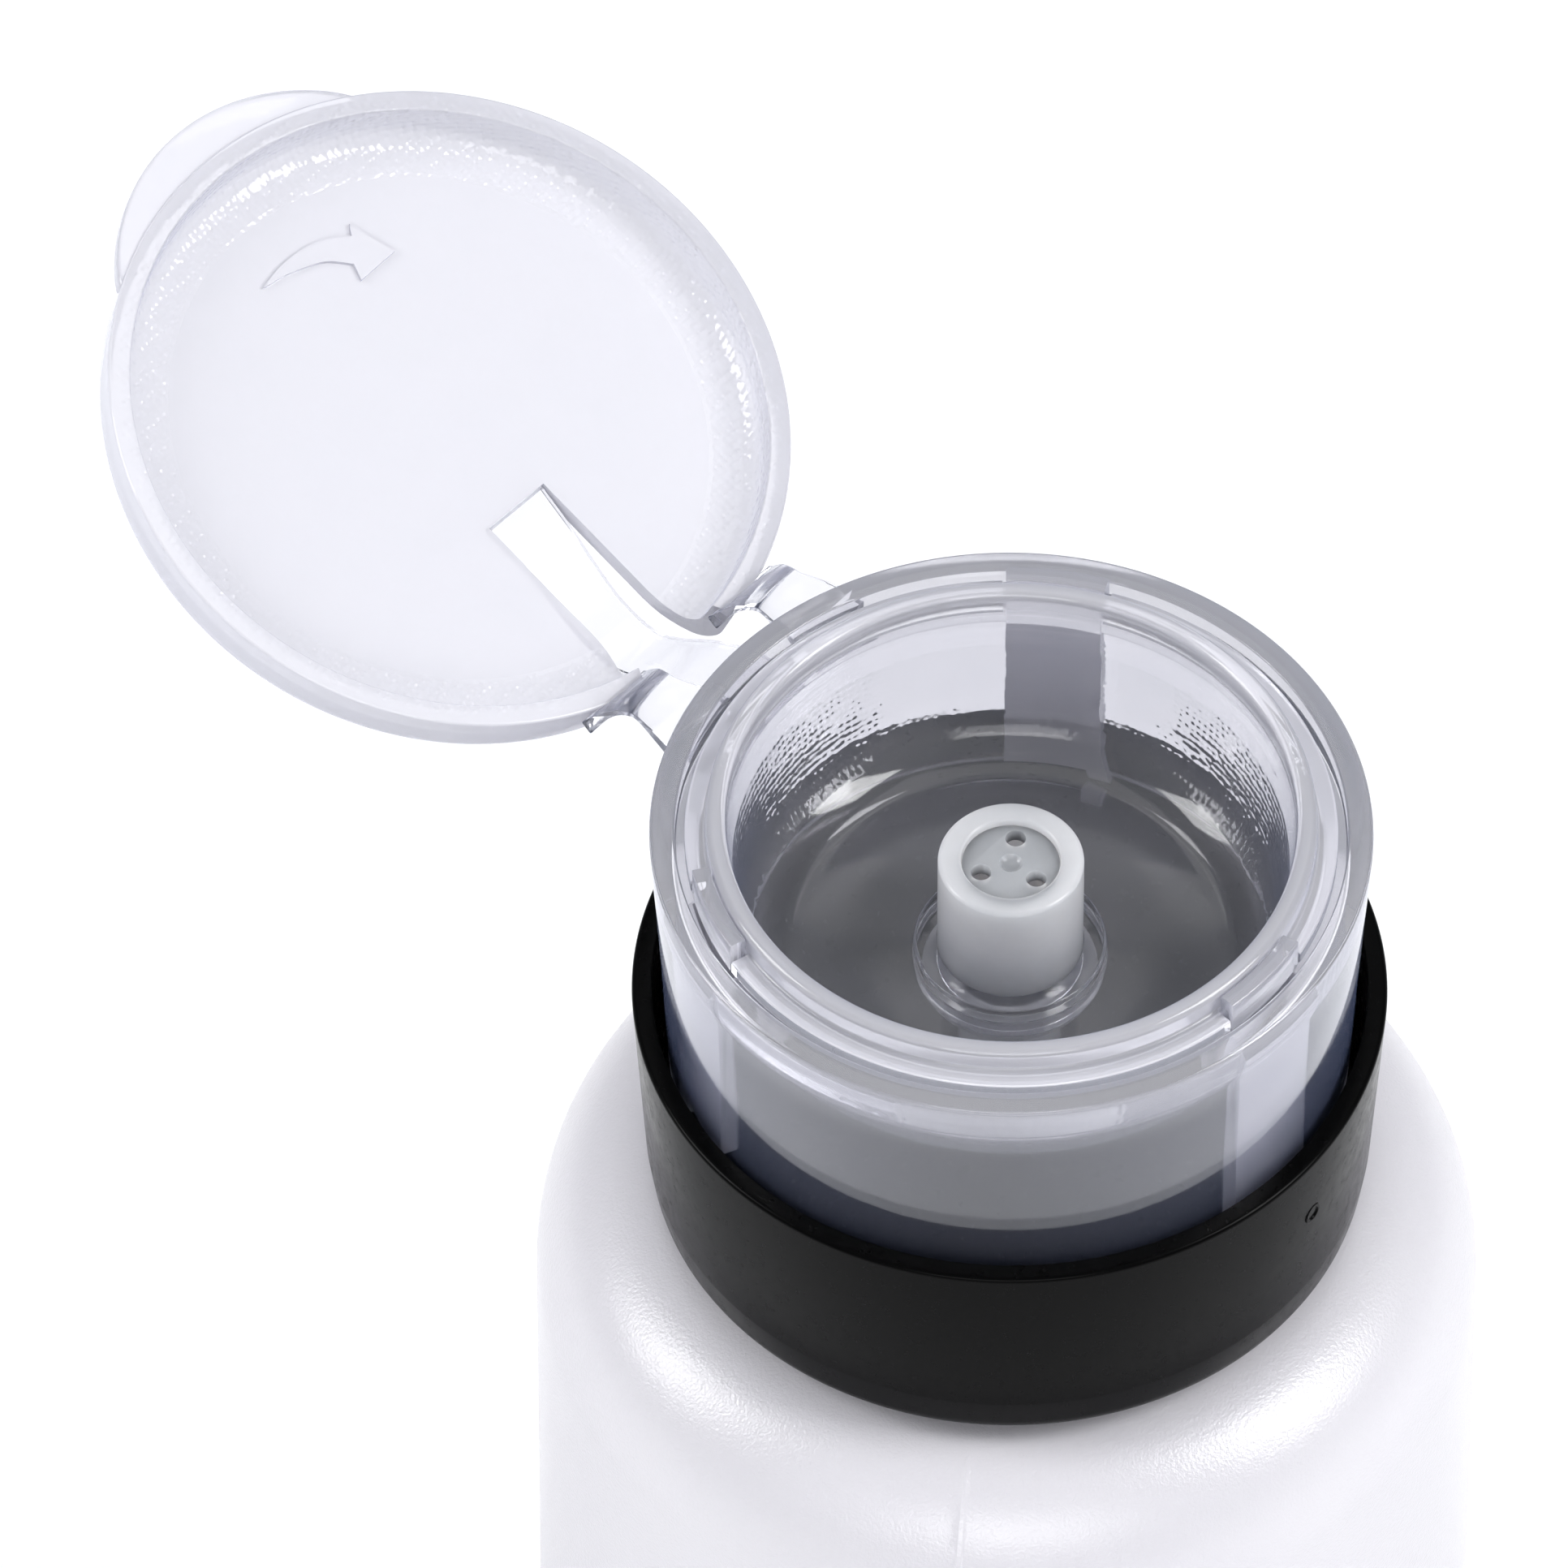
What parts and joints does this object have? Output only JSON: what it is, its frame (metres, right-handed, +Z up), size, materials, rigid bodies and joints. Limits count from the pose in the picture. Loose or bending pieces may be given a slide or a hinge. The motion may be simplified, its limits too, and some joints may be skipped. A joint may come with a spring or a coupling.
{
  "type": "push-down liquid dispenser bottle",
  "caption": "Push-down dispenser bottle with a screw collar, a twist-to-open head, a shallow dish around a holed post, and a living-hinge flip lid.",
  "frame": {"origin": "centre of the bottle's base, on the surface it stands on", "axes": "+Z up along the bottle's axis, the lid hinges at +Y, its finger lip is at -Y when shut"},
  "size_m": [0.0596, 0.1012, 0.1358],
  "materials": {
    "natural_polyethylene": "satin, frosted",
    "black_polypropylene": "gloss",
    "foam_polyethylene": "matte foam",
    "natural_polypropylene": "semi-gloss, milky",
    "stainless_steel": "drawn and polished",
    "soft_polyethylene": "satin",
    "clear_polypropylene": "gloss, clear with a slight haze"
  },
  "bodies": {
    "bottle": {"bottle": "natural_polyethylene"},
    "pump_engine": {"pump_housing": "black_polypropylene", "housing_cap": "black_polypropylene", "neck_gasket": "foam_polyethylene", "dip_tube": "natural_polyethylene", "return_spring": "stainless_steel"},
    "collar": {"screw_collar": "black_polypropylene"},
    "piston": {"piston_seal": "soft_polyethylene"},
    "head": {"piston_stem": "natural_polypropylene", "nozzle_post": "natural_polypropylene", "nozzle_disc": "natural_polypropylene", "dish": "clear_polypropylene", "head_shell": "clear_polypropylene", "hinge_strap_left": "clear_polypropylene", "hinge_strap_right": "clear_polypropylene", "snap_tongue": "clear_polypropylene"},
    "lid": {"lid": "clear_polypropylene"},
    "inlet_valve": {"inlet_ball": "stainless_steel"},
    "outlet_valve": {"outlet_ball": "stainless_steel"}
  },
  "joints": [
    {"name": "closure_lift", "type": "slide", "parent": "bottle", "child": "pump_engine", "axis": [0, 0, 1], "range_m": [0, 0.00635]},
    {"name": "collar_turn", "type": "hinge", "parent": "pump_engine", "child": "collar", "pos_m": [0, 0, 0.1], "axis": [0, 0, 1], "range_deg": [0, 540]},
    {"name": "pump_stroke", "type": "slide", "parent": "pump_engine", "child": "piston", "axis": [0, 0, 1], "range_m": [-0.0055, 0], "stiffness_N_per_m": 800, "springref_m": 0.004, "deforming": ["return_spring"]},
    {"name": "head_twist", "type": "hinge", "parent": "piston", "child": "head", "pos_m": [0, 0, 0.11], "axis": [0, 0, 1], "range_deg": [-45, 0]},
    {"name": "lid_hinge", "type": "hinge", "parent": "head", "child": "lid", "pos_m": [0, 0.024, 0.1222], "axis": [1, 0, 0], "range_deg": [0, 160], "deforming": ["hinge_strap_left", "hinge_strap_right", "snap_tongue"]},
    {"name": "inlet_ball_lift", "type": "slide", "parent": "pump_engine", "child": "inlet_valve", "axis": [0, 0, 1], "range_m": [0, 0.002]},
    {"name": "outlet_ball_lift", "type": "slide", "parent": "head", "child": "outlet_valve", "axis": [0, 0, 1], "range_m": [0, 0.0015]}
  ],
  "couplings": [
    {"joint": "closure_lift", "follows": "collar_turn", "m_per_rad": 0.0006737}
  ]
}
